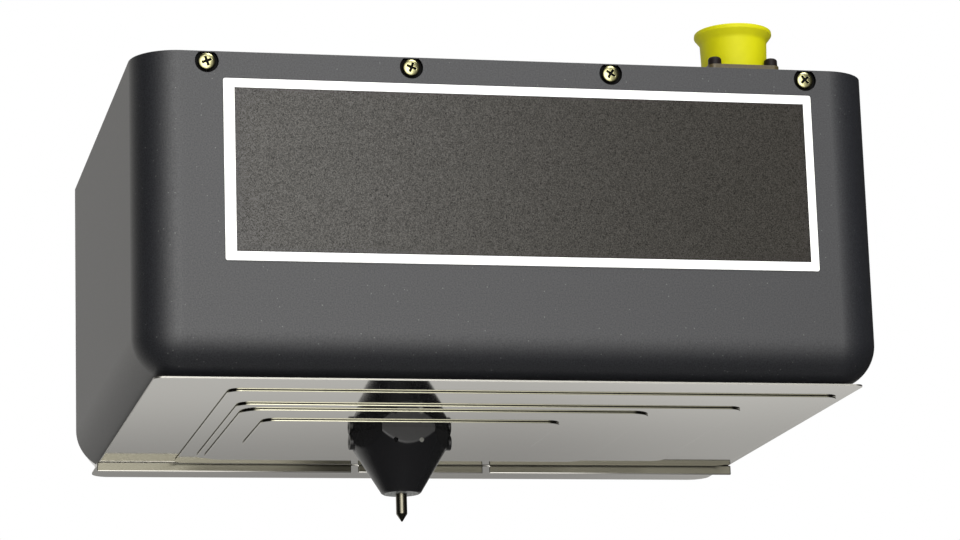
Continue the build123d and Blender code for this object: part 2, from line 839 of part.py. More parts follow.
with BuildPart() as connector_screws:
    for x, y in flange_screw_points:
        rod(flange_screw_head_radius, (x, y, flange_top_z), (0, 0, 1), flange_screw_head_height)
        rod(
            flange_screw_radius,
            (x, y, flange_top_z),
            (0, 0, -1),
            flange_thick + gasket_thick + flange_screw_depth - seat_gap,
        )
    chamfer(connector_screws.edges().group_by(Axis.Z)[-1], flange_screw_dome)
    for x, y in flange_screw_points:
        with BuildSketch(Plane(origin=(x, y, flange_top_z + flange_screw_head_height))) as socket:
            RegularPolygon(flange_screw_socket / 2, side_count=6, major_radius=False)
        extrude(socket.sketch, amount=-flange_screw_socket_depth, mode=Mode.SUBTRACT)
keep(connector_screws, "connector_screws")

# Dust cap: a thin flared cup, pushed over the shell
cap_z = flange_top_z + cap_bottom_gap
cap_socket_radius = shell_radius + cap_fit
cap_web_low_z = flange_top_z + shell_height + seat_gap
cap_plane = Plane(origin=(connector_x, connector_y, 0), x_dir=(1, 0, 0), z_dir=(0, -1, 0))
with BuildPart() as dust_cap:
    with BuildSketch(cap_plane) as cap_half:
        with BuildLine():
            Line((cap_socket_radius, cap_z), (cap_base_radius, cap_z))
            Line((cap_base_radius, cap_z), (cap_waist_radius, cap_z + cap_waist_height))
            Line((cap_waist_radius, cap_z + cap_waist_height), (cap_rim_radius, cap_z + cap_rim_height))
            Line((cap_rim_radius, cap_z + cap_rim_height), (cap_rim_radius - cap_lip, cap_z + cap_height))
            Line((cap_rim_radius - cap_lip, cap_z + cap_height), (cap_well_radius, cap_z + cap_height))
            Line((cap_well_radius, cap_z + cap_height), (cap_well_radius, cap_web_low_z + cap_web))
            Line((cap_well_radius, cap_web_low_z + cap_web), (0, cap_web_low_z + cap_web))
            Line((0, cap_web_low_z + cap_web), (0, cap_web_low_z))
            Line((0, cap_web_low_z), (cap_socket_radius, cap_web_low_z))
            Line((cap_socket_radius, cap_web_low_z), (cap_socket_radius, cap_z))
        make_face()
    revolve(axis=Axis((connector_x, connector_y, 0), (0, 0, 1)))
keep(dust_cap, "dust_cap")

# Y stage, under the top plate
with BuildPart() as y_rails:
    for side in (-1, 1):
        slab(
            centred(side * y_rail_x, y_rail_width),
            (front_y + y_rail_front, y_bracket_y - y_rail_end_gap),
            (plate_under_z - y_rail_height, plate_under_z),
        )
keep(y_rails, "y_rails")

with BuildPart() as y_blocks:
    for side in (-1, 1):
        for end in (-1, 1):
            slab(
                centred(side * y_rail_x, y_block_width),
                centred(tool_y + end * y_block_spacing / 2, y_block_length),
                (gantry_top_z, gantry_top_z + y_block_height),
            )
        slab(
            centred(side * y_rail_x, y_rail_width + 2 * slide_clearance),
            centred(tool_y, 2 * gantry_half_depth + overrun),
            (plate_under_z - y_rail_height - slide_clearance, plate_under_z),
            Mode.SUBTRACT,
        )
keep(y_blocks, "y_blocks")

with BuildPart() as gantry_plate:
    slab(
        (-gantry_left, gantry_right),
        centred(tool_y, 2 * gantry_half_depth),
        (gantry_under_z, gantry_top_z),
    )
keep(gantry_plate, "gantry_plate")


y_nut_y = centred(tool_y, y_nut_bracket_depth)
y_screw_start = front_y + y_screw_front
bracket_low_z = y_screw_z - screw_bracket_foot
with BuildPart() as y_nut_bracket:
    slab(centred(y_screw_x, y_nut_bracket_width), y_nut_y, (bracket_low_z, gantry_under_z))
    rod(
        nut_radius + close_clearance,
        (y_screw_x, y_nut_y[0], y_screw_z),
        (0, 1, 0),
        y_nut_bracket_depth,
        Mode.SUBTRACT,
    )
keep(y_nut_bracket, "y_nut_bracket")

with BuildPart() as y_nut:
    rod(nut_flange_radius, (y_screw_x, y_nut_y[0], y_screw_z), (0, -1, 0), nut_flange_thick)
    rod(nut_radius, (y_screw_x, y_nut_y[0], y_screw_z), (0, 1, 0), y_nut_bracket_depth + nut_tail)
    rod(
        screw_radius + screw_clearance,
        (y_screw_x, y_nut_y[0] - nut_flange_thick, y_screw_z),
        (0, 1, 0),
        nut_flange_thick + y_nut_bracket_depth + nut_tail,
        Mode.SUBTRACT,
    )
keep(y_nut, "y_nut")

y_bearing_y = (front_y + y_bearing_front, front_y + y_bearing_front + y_bearing_depth)
with BuildPart() as y_bearing_block:
    slab(centred(y_screw_x, 2 * screw_bracket_half_width), y_bearing_y, (bracket_low_z, plate_under_z))
    rod(
        bearing_radius + close_clearance,
        (y_screw_x, y_bearing_y[0], y_screw_z),
        (0, 1, 0),
        y_bearing_depth,
        Mode.SUBTRACT,
    )
keep(y_bearing_block, "y_bearing_block")

with BuildPart() as y_bearing:
    rod(bearing_radius, (y_screw_x, y_bearing_y[0], y_screw_z), (0, 1, 0), bearing_width)
    rod(
        screw_radius + screw_clearance,
        (y_screw_x, y_bearing_y[0], y_screw_z),
        (0, 1, 0),
        bearing_width,
        Mode.SUBTRACT,
    )
keep(y_bearing, "y_bearing")

with BuildPart() as y_motor_bracket:
    slab(
        centred(y_screw_x, motor_side),
        (y_bracket_y, y_bracket_y + motor_bracket_thick),
        (y_screw_z - motor_side / 2, plate_under_z),
    )
    rod(
        motor_pilot_radius + close_clearance,
        (y_screw_x, y_bracket_y, y_screw_z),
        (0, 1, 0),
        motor_bracket_thick,
        Mode.SUBTRACT,
    )
keep(y_motor_bracket, "y_motor_bracket")

y_motor_y = y_bracket_y + motor_bracket_thick
with BuildPart() as y_motor:
    slab(
        centred(y_screw_x, motor_side),
        (y_motor_y, y_motor_y + motor_length),
        centred(y_screw_z, motor_side),
    )
    chamfer(y_motor.edges().filter_by(Axis.Y), motor_corner)
    rod(motor_pilot_radius, (y_screw_x, y_motor_y, y_screw_z), (0, -1, 0), motor_pilot_height)
    rod(
        screw_radius + screw_clearance,
        (y_screw_x, y_motor_y - motor_pilot_height, y_screw_z),
        (0, 1, 0),
        motor_length,
        Mode.SUBTRACT,
    )
keep(y_motor, "y_motor")

y_screw_end = y_motor_y + motor_length / 2
with BuildPart() as y_screw:
    rod(screw_radius, (y_screw_x, y_screw_start, y_screw_z), (0, 1, 0), y_screw_end - y_screw_start)
keep(y_screw, "y_screw")

y_coupling_end = y_bracket_y - coupling_gap
with BuildPart() as y_coupling:
    rod(coupling_radius, (y_screw_x, y_coupling_end, y_screw_z), (0, -1, 0), coupling_length)
    rod(
        screw_radius + close_clearance,
        (y_screw_x, y_coupling_end, y_screw_z),
        (0, -1, 0),
        coupling_length,
        Mode.SUBTRACT,
    )
keep(y_coupling, "y_coupling")

# X stage, under the gantry plate
with BuildPart() as x_rail:
    slab(
        centred(0, 2 * x_rail_half_length),
        centred(tool_y, x_rail_width),
        (gantry_under_z - x_rail_height, gantry_under_z),
    )
keep(x_rail, "x_rail")

with BuildPart() as x_block:
    slab(
        centred(tool_x, x_block_length),
        centred(tool_y, x_block_width),
        (carriage_top_z, x_block_top_z),
    )
    slab(
        centred(tool_x, x_block_length + overrun),
        centred(tool_y, x_rail_width + 2 * slide_clearance),
        (gantry_under_z - x_rail_height - slide_clearance, gantry_under_z),
        Mode.SUBTRACT,
    )
keep(x_block, "x_block")

with BuildPart() as carriage_plate:
    slab(
        centred(tool_x, 2 * carriage_half_width),
        (tool_y - carriage_front, tool_y + carriage_back),
        (carriage_under_z, carriage_top_z),
    )
keep(carriage_plate, "carriage_plate")

x_bracket_low_z = x_screw_z - screw_bracket_foot
x_nut_x = centred(tool_x, y_nut_bracket_depth)
with BuildPart() as x_nut_bracket:
    slab(x_nut_x, centred(x_screw_y, y_nut_bracket_width), (x_bracket_low_z, carriage_under_z))
    rod(
        nut_radius + close_clearance,
        (x_nut_x[0], x_screw_y, x_screw_z),
        (1, 0, 0),
        y_nut_bracket_depth,
        Mode.SUBTRACT,
    )
keep(x_nut_bracket, "x_nut_bracket")

with BuildPart() as x_nut:
    rod(nut_flange_radius, (x_nut_x[0], x_screw_y, x_screw_z), (-1, 0, 0), nut_flange_thick)
    rod(nut_radius, (x_nut_x[0], x_screw_y, x_screw_z), (1, 0, 0), y_nut_bracket_depth + nut_tail)
    rod(
        screw_radius + screw_clearance,
        (x_nut_x[0] - nut_flange_thick, x_screw_y, x_screw_z),
        (1, 0, 0),
        nut_flange_thick + y_nut_bracket_depth + nut_tail,
        Mode.SUBTRACT,
    )
keep(x_nut, "x_nut")

x_bracket_far = x_bracket_near + x_bracket_thick
with BuildPart() as x_end_bracket:
    slab(
        (x_bracket_near, x_bracket_far),
        centred(x_screw_y, 2 * screw_bracket_half_width),
        (x_bracket_low_z, gantry_under_z),
    )
    rod(
        bearing_radius + close_clearance,
        (x_bracket_near, x_screw_y, x_screw_z),
        (1, 0, 0),
        x_bracket_thick,
        Mode.SUBTRACT,
    )
keep(x_end_bracket, "x_end_bracket")

with BuildPart() as x_bearing:
    rod(bearing_radius, (x_bracket_near, x_screw_y, x_screw_z), (1, 0, 0), bearing_width)
    rod(
        screw_radius + screw_clearance,
        (x_bracket_near, x_screw_y, x_screw_z),
        (1, 0, 0),
        bearing_width,
        Mode.SUBTRACT,
    )
keep(x_bearing, "x_bearing")

with BuildPart() as x_motor_bracket:
    slab(
        (-x_bracket_far, -x_bracket_near),
        centred(x_screw_y, motor_side),
        (x_screw_z - motor_side / 2, gantry_under_z),
    )
    rod(
        motor_pilot_radius + close_clearance,
        (-x_bracket_far, x_screw_y, x_screw_z),
        (1, 0, 0),
        x_bracket_thick,
        Mode.SUBTRACT,
    )
keep(x_motor_bracket, "x_motor_bracket")

with BuildPart() as x_motor:
    slab(
        (-x_bracket_far - motor_length, -x_bracket_far),
        centred(x_screw_y, motor_side),
        centred(x_screw_z, motor_side),
    )
    chamfer(x_motor.edges().filter_by(Axis.X), motor_corner)
    rod(motor_pilot_radius, (-x_bracket_far, x_screw_y, x_screw_z), (1, 0, 0), motor_pilot_height)
    rod(
        screw_radius + screw_clearance,
        (-x_bracket_far + motor_pilot_height, x_screw_y, x_screw_z),
        (-1, 0, 0),
        motor_length,
        Mode.SUBTRACT,
    )
keep(x_motor, "x_motor")

x_screw_start = -x_bracket_far - motor_length / 2
with BuildPart() as x_screw:
    rod(screw_radius, (x_screw_start, x_screw_y, x_screw_z), (1, 0, 0), x_bracket_far - x_screw_start)
keep(x_screw, "x_screw")

x_coupling_start = -x_bracket_near + coupling_gap
with BuildPart() as x_coupling:
    rod(coupling_radius, (x_coupling_start, x_screw_y, x_screw_z), (1, 0, 0), coupling_length)
    rod(
        screw_radius + close_clearance,
        (x_coupling_start, x_screw_y, x_screw_z),
        (1, 0, 0),
        coupling_length,
        Mode.SUBTRACT,
    )
keep(x_coupling, "x_coupling")

# Limit switches just beyond the ends of each travel
y_stop_front = tool_y - gantry_half_depth - travel_front - switch_gap
y_stop_back = tool_y + gantry_half_depth + travel_back + switch_gap
with BuildPart() as y_limit_switches:
    for stop, away in ((y_stop_front, -1), (y_stop_back, 1)):
        body_near = stop + away * switch_plunger_length
        slab(
            centred(y_switch_x, switch_width),
            tuple(sorted((body_near, body_near + away * switch_length))),
            (gantry_under_z, plate_under_z),
        )
        rod(
            switch_plunger_radius,
            (y_switch_x, body_near, gantry_under_z + switch_height / 2),
            (0, -away, 0),
            switch_plunger_length,
        )
keep(y_limit_switches, "y_limit_switches")

x_stop_left = tool_x - carriage_half_width - travel_left - switch_gap
x_stop_right = tool_x + carriage_half_width + travel_right + switch_gap
x_switch_y = tool_y - x_switch_front
with BuildPart() as x_limit_switches:
    for stop, away in ((x_stop_left, -1), (x_stop_right, 1)):
        body_near = stop + away * switch_plunger_length
        slab(
            tuple(sorted((body_near, body_near + away * switch_length))),
            centred(x_switch_y, switch_width),
            (carriage_under_z, gantry_under_z),
        )
        rod(
            switch_plunger_radius,
            (body_near, x_switch_y + switch_width / 4, carriage_top_z - switch_height / 2),
            (-away, 0, 0),
            switch_plunger_length,
        )
keep(x_limit_switches, "x_limit_switches")
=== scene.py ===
import json
import math

import bmesh
import bpy
from mathutils import Matrix, Vector


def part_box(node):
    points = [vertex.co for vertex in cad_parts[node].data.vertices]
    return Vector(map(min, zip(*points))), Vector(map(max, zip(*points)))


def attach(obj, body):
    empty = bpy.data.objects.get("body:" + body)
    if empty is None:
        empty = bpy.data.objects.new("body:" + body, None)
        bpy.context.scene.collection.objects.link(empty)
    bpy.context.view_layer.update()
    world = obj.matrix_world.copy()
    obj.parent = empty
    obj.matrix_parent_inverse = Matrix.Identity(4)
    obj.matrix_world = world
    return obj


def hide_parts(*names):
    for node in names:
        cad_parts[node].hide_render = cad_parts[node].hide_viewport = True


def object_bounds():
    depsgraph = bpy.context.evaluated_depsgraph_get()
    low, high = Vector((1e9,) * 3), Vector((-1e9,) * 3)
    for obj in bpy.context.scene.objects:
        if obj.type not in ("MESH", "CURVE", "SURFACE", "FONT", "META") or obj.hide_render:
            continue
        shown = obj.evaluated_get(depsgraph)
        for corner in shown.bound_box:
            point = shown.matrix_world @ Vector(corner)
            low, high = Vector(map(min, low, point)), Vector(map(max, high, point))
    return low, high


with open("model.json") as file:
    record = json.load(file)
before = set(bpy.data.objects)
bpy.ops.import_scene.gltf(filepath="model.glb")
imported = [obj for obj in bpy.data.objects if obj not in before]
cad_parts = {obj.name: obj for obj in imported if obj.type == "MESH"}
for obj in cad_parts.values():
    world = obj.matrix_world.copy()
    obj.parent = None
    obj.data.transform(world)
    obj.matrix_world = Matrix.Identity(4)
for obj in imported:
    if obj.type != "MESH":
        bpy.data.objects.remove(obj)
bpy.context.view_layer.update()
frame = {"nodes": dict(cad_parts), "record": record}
nodes = frame["nodes"]
record = frame["record"]
bodyOf = {n: b for b, ns in record["behaviour"]["bodies"].items() for n in ns}
slotOf = {s["node"]: s["material_slot"] for s in record["subparts"]}
mm = 0.001
facePlay = 0.1 * mm  # how far off a face's middle may lie when it is picked by place
overrun = 10 * mm  # how far a cutter reaches past the faces that it opens
print("frame loaded", len(nodes), "nodes")


# Mesh helpers, in metres in the row frame

def linkMesh(name, mesh):
    obj = bpy.data.objects.new(name, mesh)
    bpy.context.scene.collection.objects.link(obj)
    return obj


def linkBm(name, bm):
    bmesh.ops.recalc_face_normals(bm, faces=bm.faces)
    mesh = bpy.data.meshes.new(name)
    bm.to_mesh(mesh)
    bm.free()
    return linkMesh(name, mesh)


def applyModifiers(obj):
    deps = bpy.context.evaluated_depsgraph_get()
    deps.update()
    mesh = bpy.data.meshes.new_from_object(obj.evaluated_get(deps))
    obj.modifiers.clear()
    old = obj.data
    obj.data = mesh
    bpy.data.meshes.remove(old)
    return obj


def smoothByAngle(obj, degrees=32):
    obj.data.polygons.foreach_set("use_smooth", [True] * len(obj.data.polygons))
    obj.data.set_sharp_from_angle(angle=math.radians(degrees))
    return obj


def bevelEdges(obj, width, segments=2, degrees=32):
    bevel = obj.modifiers.new("edges", "BEVEL")
    bevel.width = width * mm
    bevel.segments = segments
    bevel.limit_method = "ANGLE"
    bevel.angle_limit = math.radians(degrees)
    bevel.miter_outer = "MITER_ARC"
    return applyModifiers(obj)


def evenNormals(obj):  # big flat faces keep their own normal beside rounded edges
    weighted = obj.modifiers.new("normals", "WEIGHTED_NORMAL")
    weighted.keep_sharp = True
    weighted.weight = 90
    return applyModifiers(obj)


def flatFaces(obj, smallest=0.0001):  # sheet faces are mirrors, so their big faces stay truly flat
    for face in obj.data.polygons:
        if face.area > smallest:
            face.use_smooth = False
    return obj


def cutWith(obj, cutter):
    cut = obj.modifiers.new("cut", "BOOLEAN")
    cut.operation = "DIFFERENCE"
    cut.solver = "EXACT"
    cut.object = cutter
    applyModifiers(obj)
    bpy.data.objects.remove(cutter)
    return obj


def rodMesh(name, radius, start, direction, length, segments=48):
    bm = bmesh.new()
    turn = Vector(direction).normalized().to_track_quat("Z", "Y").to_matrix().to_4x4()
    place = Matrix.Translation(Vector(start) + Vector(direction).normalized() * length / 2) @ turn
    bmesh.ops.create_cone(
        bm, cap_ends=True, segments=segments, radius1=radius, radius2=radius, depth=length, matrix=place
    )
    return linkBm(name, bm)


def boxMesh(name, low, high):
    bm = bmesh.new()
    size = Vector(high) - Vector(low)
    place = Matrix.Translation((Vector(low) + Vector(high)) / 2) @ Matrix.Diagonal((*size, 1))
    bmesh.ops.create_cube(bm, size=1, matrix=place)
    return linkBm(name, bm)


def latheMesh(name, profile, centre, segments=96):  # profile: (radius, height) pairs along the axis
    bm = bmesh.new()
    rings = []
    for radius, height in profile:
        if radius < 1e-7:
            rings.append([bm.verts.new((centre[0], centre[1], height))])
            continue
        rings.append([
            bm.verts.new((
                centre[0] + radius * math.cos(2 * math.pi * i / segments),
                centre[1] + radius * math.sin(2 * math.pi * i / segments),
                height,
            ))
            for i in range(segments)
        ])
    for a, b in zip(rings, rings[1:]):
        for i in range(segments):
            j = (i + 1) % segments
            if len(a) == 1 and len(b) == 1:
                continue
            if len(a) == 1:
                bm.faces.new((a[0], b[i], b[j]))
            elif len(b) == 1:
                bm.faces.new((a[i], a[j], b[0]))
            else:
                bm.faces.new((a[i], a[j], b[j], b[i]))
    return linkBm(name, bm)


def roundedProfile(points, radii, steps=6):  # rounds each corner of the profile by its radius
    out = []
    for i, point in enumerate(points):
        p = Vector(point)
        r = radii[i]
        if r == 0 or i == 0 or i == len(points) - 1:
            out.append((p.x, p.y))
            continue
        a = (Vector(points[i - 1]) - p).normalized()
        b = (Vector(points[i + 1]) - p).normalized()
        half = a.angle(b) / 2
        reach = r / math.tan(half)
        mid = (a + b).normalized() * (r / math.sin(half)) + p
        start = p + a * reach - mid
        end = p + b * reach - mid
        sweep = math.pi - 2 * half
        for k in range(steps + 1):
            t = k / steps
            q = (start * math.sin((1 - t) * sweep) + end * math.sin(t * sweep)) / math.sin(sweep)
            out.append((mid.x + q.x, mid.y + q.y))
    return out


def cadCopy(name, node):  # the CAD node's shape with its flat faces made whole again
    bm = bmesh.new()
    bm.from_mesh(nodes[node].data)
    bmesh.ops.remove_doubles(bm, verts=bm.verts, dist=2e-6)
    bmesh.ops.dissolve_limit(
        bm, angle_limit=math.radians(0.6), use_dissolve_boundaries=False, verts=bm.verts, edges=bm.edges,
        delimit={"NORMAL"},
    )
    mesh = bpy.data.meshes.new(name)
    bm.to_mesh(mesh)
    bm.free()
    return linkMesh(name, mesh)


def settle(obj, node, material):  # obj stands for the node, rides its body and takes its finish
    if material is not None:
        obj.data.materials.clear()
        obj.data.materials.append(material)
    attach(obj, bodyOf[node])
    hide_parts(node)
    return obj


# Shader groups

def newGroup(name, inputs, outputs):
    group = bpy.data.node_groups.new(name, "ShaderNodeTree")
    for label, kind, value in inputs:
        socket = group.interface.new_socket(label, in_out="INPUT", socket_type=kind)
        socket.default_value = value
    for label, kind in outputs:
        group.interface.new_socket(label, in_out="OUTPUT", socket_type=kind)
    return group, group.nodes.new("NodeGroupInput"), group.nodes.new("NodeGroupOutput")


def mathNode(tree, operation, a, b=None, clamp=False):
    node = tree.nodes.new("ShaderNodeMath")
    node.operation = operation
    node.use_clamp = clamp
    for index, value in enumerate((a, b)):
        if value is None:
            continue
        if isinstance(value, (int, float)):
            node.inputs[index].default_value = value
        else:
            tree.links.new(value, node.inputs[index])
    return node.outputs[0]


def speckleGroup():
    group, inputs, outputs = newGroup(
        "speckle",
        [
            ("Scale", "NodeSocketFloat", 1500), ("Contrast", "NodeSocketFloat", 0.2),
            ("Depth", "NodeSocketFloat", 0.00003),
        ],
        [("Tone", "NodeSocketFloat"), ("Normal", "NodeSocketVector")],
    )
    coords = group.nodes.new("ShaderNodeTexCoord")
    noise = group.nodes.new("ShaderNodeTexNoise")
    noise.inputs["Detail"].default_value = 3
    group.links.new(coords.outputs["Object"], noise.inputs["Vector"])
    group.links.new(inputs.outputs["Scale"], noise.inputs["Scale"])
    centred = mathNode(group, "SUBTRACT", noise.outputs["Fac"], 0.5)
    spread = mathNode(group, "MULTIPLY", centred, inputs.outputs["Contrast"])
    tone = mathNode(group, "ADD", spread, 1.0)
    bump = group.nodes.new("ShaderNodeBump")
    bump.inputs["Strength"].default_value = 1
    group.links.new(noise.outputs["Fac"], bump.inputs["Height"])
    group.links.new(inputs.outputs["Depth"], bump.inputs["Distance"])
    group.links.new(tone, outputs.inputs["Tone"])
    group.links.new(bump.outputs["Normal"], outputs.inputs["Normal"])
    return group


def brushedGroup():
    group, inputs, outputs = newGroup(
        "brushed",
        [
            ("Along", "NodeSocketFloat", 6), ("Across", "NodeSocketFloat", 1800),
            ("Depth", "NodeSocketFloat", 0.000004),
        ],
        [("Streak", "NodeSocketFloat"), ("Cloud", "NodeSocketFloat"), ("Normal", "NodeSocketVector")],
    )
    coords = group.nodes.new("ShaderNodeTexCoord")
    stretch = group.nodes.new("ShaderNodeCombineXYZ")
    group.links.new(inputs.outputs["Along"], stretch.inputs["X"])
    group.links.new(inputs.outputs["Across"], stretch.inputs["Y"])
    group.links.new(inputs.outputs["Across"], stretch.inputs["Z"])
    scaled = group.nodes.new("ShaderNodeVectorMath")
    scaled.operation = "MULTIPLY"
    group.links.new(coords.outputs["Object"], scaled.inputs[0])
    group.links.new(stretch.outputs[0], scaled.inputs[1])
    noise = group.nodes.new("ShaderNodeTexNoise")
    noise.inputs["Scale"].default_value = 1
    noise.inputs["Detail"].default_value = 4
    group.links.new(scaled.outputs[0], noise.inputs["Vector"])
    cloud = group.nodes.new("ShaderNodeTexNoise")
    cloud.inputs["Scale"].default_value = 14
    cloud.inputs["Detail"].default_value = 2
    group.links.new(coords.outputs["Object"], cloud.inputs["Vector"])
    bump = group.nodes.new("ShaderNodeBump")
    group.links.new(noise.outputs["Fac"], bump.inputs["Height"])
    group.links.new(inputs.outputs["Depth"], bump.inputs["Distance"])
    group.links.new(noise.outputs["Fac"], outputs.inputs["Streak"])
    group.links.new(cloud.outputs["Fac"], outputs.inputs["Cloud"])
    group.links.new(bump.outputs["Normal"], outputs.inputs["Normal"])
    return group


speckle = speckleGroup()
brushed = brushedGroup()


def newMaterial(name, color, metallic=0, roughness=0.5, **more):
    material = bpy.data.materials.new(name)
    material.use_nodes = True
    shader = material.node_tree.nodes["Principled BSDF"]
    shader.inputs["Base Color"].default_value = (*color, 1)
    shader.inputs["Metallic"].default_value = metallic
    shader.inputs["Roughness"].default_value = roughness
    for label, value in more.items():
        shader.inputs[label.replace("_", " ")].default_value = value
    return material, material.node_tree, shader


def addGroup(tree, group, **values):
    node = tree.nodes.new("ShaderNodeGroup")
    node.node_tree = group
    for label, value in values.items():
        node.inputs[label].default_value = value
    return node


def toneColor(tree, shader, tone, color):  # the colour times a tone near one
    mix = tree.nodes.new("ShaderNodeVectorMath")
    mix.operation = "SCALE"
    mix.inputs[0].default_value = color
    tree.links.new(tone, mix.inputs["Scale"])
    tree.links.new(mix.outputs[0], shader.inputs["Base Color"])


def spread(tree, value, low, high):  # a value from 0.3 to 0.7, spread from low to high
    node = tree.nodes.new("ShaderNodeMapRange")
    node.inputs["From Min"].default_value = 0.3
    node.inputs["From Max"].default_value = 0.7
    node.inputs["To Min"].default_value = low
    node.inputs["To Max"].default_value = high
    tree.links.new(value, node.inputs["Value"])
    return node.outputs["Result"]


def paintMaterial(name, color, roughness, scale, contrast, depth, **more):
    material, tree, shader = newMaterial(name, color, 0, roughness, **more)
    grain = addGroup(tree, speckle, Scale=scale, Contrast=contrast, Depth=depth)
    toneColor(tree, shader, grain.outputs["Tone"], color)
    sheen = mathNode(tree, "MULTIPLY", grain.outputs["Tone"], more.get("Specular_IOR_Level", 0.5))
    tree.links.new(sheen, shader.inputs["Specular IOR Level"])
    tree.links.new(grain.outputs["Normal"], shader.inputs["Normal"])
    return material


def addSpecks(material, scale=250, size=0.07):  # a few tiny pale specks in the paint
    tree = material.node_tree
    shader = tree.nodes["Principled BSDF"]
    coords = tree.nodes.new("ShaderNodeTexCoord")
    cells = tree.nodes.new("ShaderNodeTexVoronoi")
    cells.inputs["Scale"].default_value = scale
    tree.links.new(coords.outputs["Object"], cells.inputs["Vector"])
    mix = tree.nodes.new("ShaderNodeMix")
    mix.data_type = "RGBA"
    tree.links.new(mathNode(tree, "LESS_THAN", cells.outputs["Distance"], size), mix.inputs["Factor"])
    tree.links.new(shader.inputs["Base Color"].links[0].from_socket, mix.inputs["A"])
    mix.inputs["B"].default_value = (0.06, 0.06, 0.06, 1)
    tree.links.new(mix.outputs["Result"], shader.inputs["Base Color"])


def sheetMaterial(name, color, roughLow, roughHigh, depth, along=6, across=1800):
    material, tree, shader = newMaterial(name, color, 1, roughLow)
    marks = addGroup(tree, brushed, Along=along, Across=across, Depth=depth)
    tree.links.new(spread(tree, marks.outputs["Cloud"], roughLow, roughHigh), shader.inputs["Roughness"])
    toneColor(tree, shader, spread(tree, marks.outputs["Streak"], 0.94, 1.04), color)
    tree.links.new(marks.outputs["Normal"], shader.inputs["Normal"])
    return material


coverPaint = paintMaterial("coverPaint", (0.0082, 0.0088, 0.0114), 0.5, 1500, 0.9, 0.00003)
addSpecks(coverPaint)
stainless = newMaterial("stainless", (0.6, 0.59, 0.56), 1, 0.06)[0]
shearedEdge = newMaterial("shearedEdge", (0.28, 0.272, 0.21), 1, 0.16)[0]
# darker steel for the stop rail's upright faces: painted shade standing in for the dim reflection they show
railUprightShade = newMaterial("railUprightShade", (0.117, 0.112, 0.089), 1, 0.29)[0]
panEdge = newMaterial("panEdge", (0.24, 0.235, 0.215), 1, 0.45)[0]
machined = sheetMaterial("machined", (0.74, 0.74, 0.75), 0.34, 0.345, 0.000004, 20, 900)
steel = sheetMaterial("steel", (0.58, 0.575, 0.56), 0.18, 0.3, 0.000003, 900, 900)
pinSteel = newMaterial("pinSteel", (0.105, 0.098, 0.075), 1, 0.27)[0]
zinc = newMaterial("zinc", (0.25, 0.238, 0.125), 1, 0.22)[0]
# near-black finish for recesses: painted shade in the screw slots, and in the cover cups partly their dark
# inside and partly painted shade
recessBlackAndShade = newMaterial("recessBlackAndShade", (0.003, 0.003, 0.003), 0, 0.6, Specular_IOR_Level=0.05)[0]
blackOxide = newMaterial("blackOxide", (0.01, 0.01, 0.0105), 0, 0.36, Specular_IOR_Level=0.3)[0]
matBlack = newMaterial("matBlack", (0.009, 0.006, 0.006), 0, 0.5, Specular_IOR_Level=0.12)[0]
noseBlack = paintMaterial(
    "noseBlack", (0.0095, 0.0095, 0.0105), 0.26, 700, 0.3, 0.000008, Specular_IOR_Level=0.2
)
retainerGrey = newMaterial("retainerGrey", (0.3, 0.31, 0.31), 0.7, 0.5)[0]
olive = paintMaterial("olive", (0.06, 0.045, 0.018), 0.42, 900, 0.5, 0.00001, Specular_IOR_Level=0.35)
mouldedBlack = paintMaterial("mouldedBlack", (0.02, 0.02, 0.02), 0.5, 900, 0.3, 0.00001)
rubberBlack = paintMaterial("rubberBlack", (0.015, 0.015, 0.015), 0.7, 900, 0.3, 0.00001)
brassMetal = newMaterial("brassMetal", (0.72, 0.52, 0.22), 1, 0.28)[0]
motorBlack = paintMaterial("motorBlack", (0.02, 0.02, 0.021), 0.42, 900, 0.4, 0.00001)
capYellow = paintMaterial(
    "capYellow", (0.44, 0.427, 0.0008), 0.6, 260, 0.14, 0.00001, Specular_IOR_Level=0.18
)
finishes = {
    "cover_paint": coverPaint, "machined_plate": machined, "stainless": stainless, "zinc_screws": zinc,
    "black_screws": blackOxide, "steel_parts": steel, "pin_steel": pinSteel, "black_nose": noseBlack,
    "retainer_grey": retainerGrey, "connector_olive": olive, "insert_black": mouldedBlack,
    "rubber_black": rubberBlack, "cap_yellow": capYellow, "nut_brass": brassMetal,
    "motor_black": motorBlack,
}
grubSteel = newMaterial("grubSteel", (0.07, 0.07, 0.065), 1, 0.36)[0]
for node, obj in nodes.items():
    if slotOf[node] in finishes:
        obj.data.materials.clear()
        obj.data.materials.append(finishes[slotOf[node]])
        smoothByAngle(obj)
nodes["vent_grub_screw"].data.materials[0] = grubSteel
print("materials made")


# Geometry node tree that puts one piece on every point of a list

